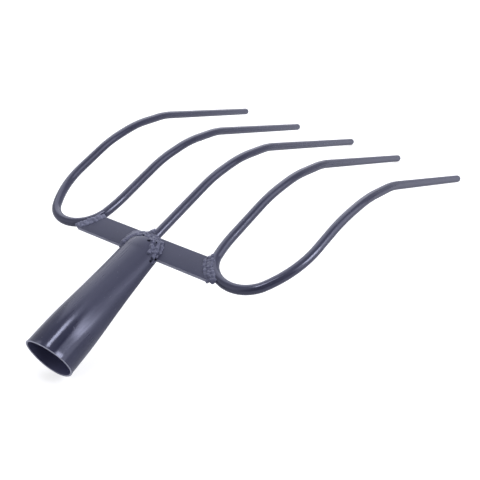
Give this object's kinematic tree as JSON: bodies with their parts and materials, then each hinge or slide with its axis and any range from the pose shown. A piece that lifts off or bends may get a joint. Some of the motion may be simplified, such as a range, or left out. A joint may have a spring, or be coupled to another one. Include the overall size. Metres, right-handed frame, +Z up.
{
  "type": "fork head",
  "caption": "Welded steel fork head: round tines bent down in steps, a flat crossbar and a tapered tube socket that takes a wooden handle.",
  "frame": {"origin": "centre of the head's box on the surface that it lies on, tips down and socket mouth down", "axes": "+X along the crossbar to the right, +Y from the socket mouth towards the tips, +Z up"},
  "size_m": [0.309, 0.5234, 0.088],
  "materials": {
    "socket_paint": "semi-gloss",
    "bar_paint": "semi-gloss",
    "rod_paint": "semi-gloss",
    "weld_paint": "semi-gloss"
  },
  "bodies": {
    "root": {"socket": "socket_paint", "crossbar": "bar_paint", "left_tine_pair": "rod_paint", "right_tine_pair": "rod_paint", "centre_tine": "rod_paint", "left_end_weld_top": "weld_paint", "left_end_weld_under": "weld_paint", "right_end_weld_top": "weld_paint", "right_end_weld_under": "weld_paint", "socket_left_weld_top": "weld_paint", "socket_left_weld_under": "weld_paint", "socket_right_weld_top": "weld_paint", "socket_right_weld_under": "weld_paint", "socket_front_weld_top": "weld_paint", "socket_front_weld_under": "weld_paint", "centre_weld": "weld_paint"}
  },
  "joints": []
}
